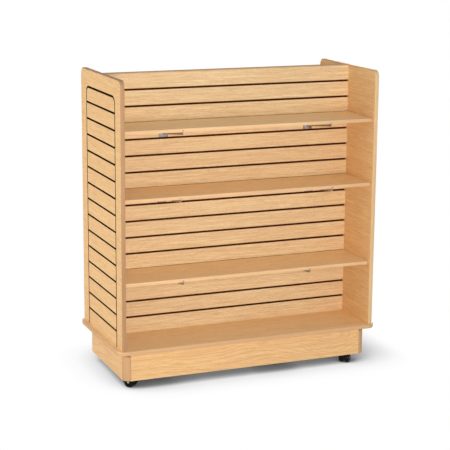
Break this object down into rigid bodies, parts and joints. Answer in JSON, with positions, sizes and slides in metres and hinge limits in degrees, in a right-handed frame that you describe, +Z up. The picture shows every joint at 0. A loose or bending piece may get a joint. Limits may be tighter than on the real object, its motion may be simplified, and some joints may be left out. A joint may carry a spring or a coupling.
{
  "type": "slatwall gondola unit",
  "caption": "Wheeled shop gondola: a two-sided slatted centre wall between slatted end panels on a deck and plinth, with loose shelves on hooked knife brackets.",
  "frame": {"origin": "on the floor below the centre of the unit", "axes": "+Z up, -Y towards the front with the shelves, +X to the right seen from the front"},
  "size_m": [1.2954, 0.5968, 1.4224],
  "materials": {
    "maple_laminate": "satin maple laminate",
    "edge_band": "satin maple edge band",
    "raw_board": "raw fibre board",
    "bracket_chrome": "polished plate",
    "plated_steel": "zinc plated",
    "caster_black": "glossy black"
  },
  "bodies": {
    "carcass": {"deck_board": "maple_laminate", "deck_edge_band": "edge_band", "plinth_front_board": "maple_laminate", "plinth_back_board": "maple_laminate", "plinth_left_board": "maple_laminate", "plinth_right_board": "maple_laminate", "plinth_cross_brace": "raw_board", "caster_rail_left": "raw_board", "caster_rail_right": "raw_board", "corner_post_front_left": "edge_band", "corner_post_front_right": "edge_band", "corner_post_back_left": "edge_band", "corner_post_back_right": "edge_band", "centre_slatwall_front": "maple_laminate", "centre_slatwall_back": "maple_laminate", "centre_top_band": "edge_band", "end_panel_left": "maple_laminate", "end_edge_band_left": "edge_band", "end_slat_insert_left": "maple_laminate", "end_panel_right": "maple_laminate", "end_edge_band_right": "edge_band", "end_slat_insert_right": "maple_laminate", "caster_front_left_plate": "plated_steel", "caster_front_right_plate": "plated_steel", "caster_back_left_plate": "plated_steel", "caster_back_right_plate": "plated_steel"},
    "shelf_top": {"shelf_top": "maple_laminate", "shelf_top_edge_band": "edge_band"},
    "bracket_top_left": {"bracket_top_left": "bracket_chrome"},
    "bracket_top_right": {"bracket_top_right": "bracket_chrome"},
    "shelf_middle": {"shelf_middle": "maple_laminate", "shelf_middle_edge_band": "edge_band"},
    "bracket_middle_left": {"bracket_middle_left": "bracket_chrome"},
    "bracket_middle_right": {"bracket_middle_right": "bracket_chrome"},
    "shelf_lower": {"shelf_lower": "maple_laminate", "shelf_lower_edge_band": "edge_band"},
    "bracket_lower_left": {"bracket_lower_left": "bracket_chrome"},
    "bracket_lower_right": {"bracket_lower_right": "bracket_chrome"},
    "caster_front_left_swivel": {"caster_front_left_hood": "caster_black", "caster_front_left_axle": "plated_steel"},
    "caster_front_left_wheel_a": {"caster_front_left_wheel_a": "caster_black"},
    "caster_front_left_wheel_b": {"caster_front_left_wheel_b": "caster_black"},
    "caster_front_right_swivel": {"caster_front_right_hood": "caster_black", "caster_front_right_axle": "plated_steel"},
    "caster_front_right_wheel_a": {"caster_front_right_wheel_a": "caster_black"},
    "caster_front_right_wheel_b": {"caster_front_right_wheel_b": "caster_black"},
    "caster_back_left_swivel": {"caster_back_left_hood": "caster_black", "caster_back_left_axle": "plated_steel"},
    "caster_back_left_wheel_a": {"caster_back_left_wheel_a": "caster_black"},
    "caster_back_left_wheel_b": {"caster_back_left_wheel_b": "caster_black"},
    "caster_back_right_swivel": {"caster_back_right_hood": "caster_black", "caster_back_right_axle": "plated_steel"},
    "caster_back_right_wheel_a": {"caster_back_right_wheel_a": "caster_black"},
    "caster_back_right_wheel_b": {"caster_back_right_wheel_b": "caster_black"}
  },
  "joints": [
    {"name": "shelf_top_lift", "type": "slide", "parent": "carcass", "child": "shelf_top", "axis": [0, 0, 1], "range_m": [0, 0.06]},
    {"name": "bracket_top_left_slide", "type": "slide", "parent": "carcass", "child": "bracket_top_left", "axis": [1, 0, 0], "range_m": [-0.2505, 0.3091]},
    {"name": "bracket_top_right_slide", "type": "slide", "parent": "carcass", "child": "bracket_top_right", "axis": [1, 0, 0], "range_m": [-0.3716, 0.188]},
    {"name": "shelf_middle_lift", "type": "slide", "parent": "carcass", "child": "shelf_middle", "axis": [0, 0, 1], "range_m": [0, 0.06]},
    {"name": "bracket_middle_left_slide", "type": "slide", "parent": "carcass", "child": "bracket_middle_left", "axis": [1, 0, 0], "range_m": [-0.241, 0.3186]},
    {"name": "bracket_middle_right_slide", "type": "slide", "parent": "carcass", "child": "bracket_middle_right", "axis": [1, 0, 0], "range_m": [-0.3841, 0.1755]},
    {"name": "shelf_lower_lift", "type": "slide", "parent": "carcass", "child": "shelf_lower", "axis": [0, 0, 1], "range_m": [0, 0.06]},
    {"name": "bracket_lower_left_slide", "type": "slide", "parent": "carcass", "child": "bracket_lower_left", "axis": [1, 0, 0], "range_m": [-0.2535, 0.3061]},
    {"name": "bracket_lower_right_slide", "type": "slide", "parent": "carcass", "child": "bracket_lower_right", "axis": [1, 0, 0], "range_m": [-0.2761, 0.2835]},
    {"name": "caster_front_left_turn", "type": "hinge", "parent": "carcass", "child": "caster_front_left_swivel", "pos_m": [-0.54155, -0.1998, 0.058], "axis": [0, 0, 1], "continuous": true},
    {"name": "caster_front_left_wheel_a_spin", "type": "hinge", "parent": "caster_front_left_swivel", "child": "caster_front_left_wheel_a", "pos_m": [-0.5546, -0.18531, 0.025], "axis": [-0.7431, -0.6691, 0], "continuous": true},
    {"name": "caster_front_left_wheel_b_spin", "type": "hinge", "parent": "caster_front_left_swivel", "child": "caster_front_left_wheel_b", "pos_m": [-0.5546, -0.18531, 0.025], "axis": [-0.7431, -0.6691, 0], "continuous": true},
    {"name": "caster_front_right_turn", "type": "hinge", "parent": "carcass", "child": "caster_front_right_swivel", "pos_m": [0.54155, -0.1998, 0.058], "axis": [0, 0, 1], "continuous": true},
    {"name": "caster_front_right_wheel_a_spin", "type": "hinge", "parent": "caster_front_right_swivel", "child": "caster_front_right_wheel_a", "pos_m": [0.5285, -0.21429, 0.025], "axis": [0.7431, -0.6691, 0], "continuous": true},
    {"name": "caster_front_right_wheel_b_spin", "type": "hinge", "parent": "caster_front_right_swivel", "child": "caster_front_right_wheel_b", "pos_m": [0.5285, -0.21429, 0.025], "axis": [0.7431, -0.6691, 0], "continuous": true},
    {"name": "caster_back_left_turn", "type": "hinge", "parent": "carcass", "child": "caster_back_left_swivel", "pos_m": [-0.54155, 0.1998, 0.058], "axis": [0, 0, 1], "continuous": true},
    {"name": "caster_back_left_wheel_a_spin", "type": "hinge", "parent": "caster_back_left_swivel", "child": "caster_back_left_wheel_a", "pos_m": [-0.52263, 0.20452, 0.025], "axis": [-0.2419, 0.9703, 0], "continuous": true},
    {"name": "caster_back_left_wheel_b_spin", "type": "hinge", "parent": "caster_back_left_swivel", "child": "caster_back_left_wheel_b", "pos_m": [-0.52263, 0.20452, 0.025], "axis": [-0.2419, 0.9703, 0], "continuous": true},
    {"name": "caster_back_right_turn", "type": "hinge", "parent": "carcass", "child": "caster_back_right_swivel", "pos_m": [0.54155, 0.1998, 0.058], "axis": [0, 0, 1], "continuous": true},
    {"name": "caster_back_right_wheel_a_spin", "type": "hinge", "parent": "caster_back_right_swivel", "child": "caster_back_right_wheel_a", "pos_m": [0.55649, 0.21233, 0.025], "axis": [-0.6428, 0.766, 0], "continuous": true},
    {"name": "caster_back_right_wheel_b_spin", "type": "hinge", "parent": "caster_back_right_swivel", "child": "caster_back_right_wheel_b", "pos_m": [0.55649, 0.21233, 0.025], "axis": [-0.6428, 0.766, 0], "continuous": true}
  ]
}
